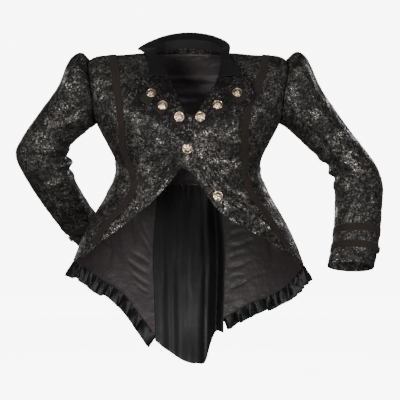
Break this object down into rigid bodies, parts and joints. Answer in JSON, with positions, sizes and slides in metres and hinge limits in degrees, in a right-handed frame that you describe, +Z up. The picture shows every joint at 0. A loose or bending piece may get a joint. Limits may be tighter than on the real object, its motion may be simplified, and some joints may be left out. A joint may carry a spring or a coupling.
{
  "type": "steampunk tailcoat jacket",
  "caption": "Women's cutaway tailcoat jacket in crackled foil cloth with satin collar, ruffled side tails, satin centre tail, braid trims and domed metal buttons, filled out as if worn.",
  "frame": {"origin": "middle of the base of the neck, level with the neck-side ends of the shoulder seams, where the wearer or a dress form holds the jacket up", "axes": "+X to the right of somebody looking at the front, -Y out of the front, +Z up; left and right in node names are as seen from the front"},
  "size_m": [0.884, 0.3931, 0.842],
  "materials": {
    "foil_cloth": "black cloth with crackled silver-grey foil print",
    "satin": "black satin",
    "lining": "grey-brown satin lining",
    "braid": "ribbed olive-brown braid",
    "button_metal": "polished pale gold"
  },
  "bodies": {
    "root": {"front_left": "foil_cloth", "front_right": "foil_cloth", "side_front_left": "foil_cloth", "side_front_right": "foil_cloth", "side_back_left": "foil_cloth", "side_back_right": "foil_cloth", "centre_back": "foil_cloth", "sleeve_left": "foil_cloth", "sleeve_right": "foil_cloth", "lapel_left": "foil_cloth", "lapel_right": "foil_cloth", "collar_leaf": "satin", "collar_stand": "satin", "ruffle_left": "satin", "ruffle_right": "satin", "centre_tail": "satin", "tail_lining_left": "lining", "tail_lining_right": "lining", "back_lining": "lining", "braid_left": "braid", "braid_right": "braid", "band_upper_left": "braid", "band_upper_right": "braid", "band_lower_left": "braid", "band_lower_right": "braid", "tab_left_1": "braid", "tab_left_2": "braid", "tab_left_3": "braid", "tab_right_4": "braid", "tab_right_5": "braid", "tab_right_6": "braid", "lapel_button_1": "button_metal", "lapel_button_2": "button_metal", "lapel_button_3": "button_metal", "lapel_button_4": "button_metal", "lapel_button_5": "button_metal", "lapel_button_6": "button_metal", "closure_button": "button_metal", "lower_button": "button_metal", "cuff_button_left": "button_metal", "cuff_button_right": "button_metal"}
  },
  "joints": []
}
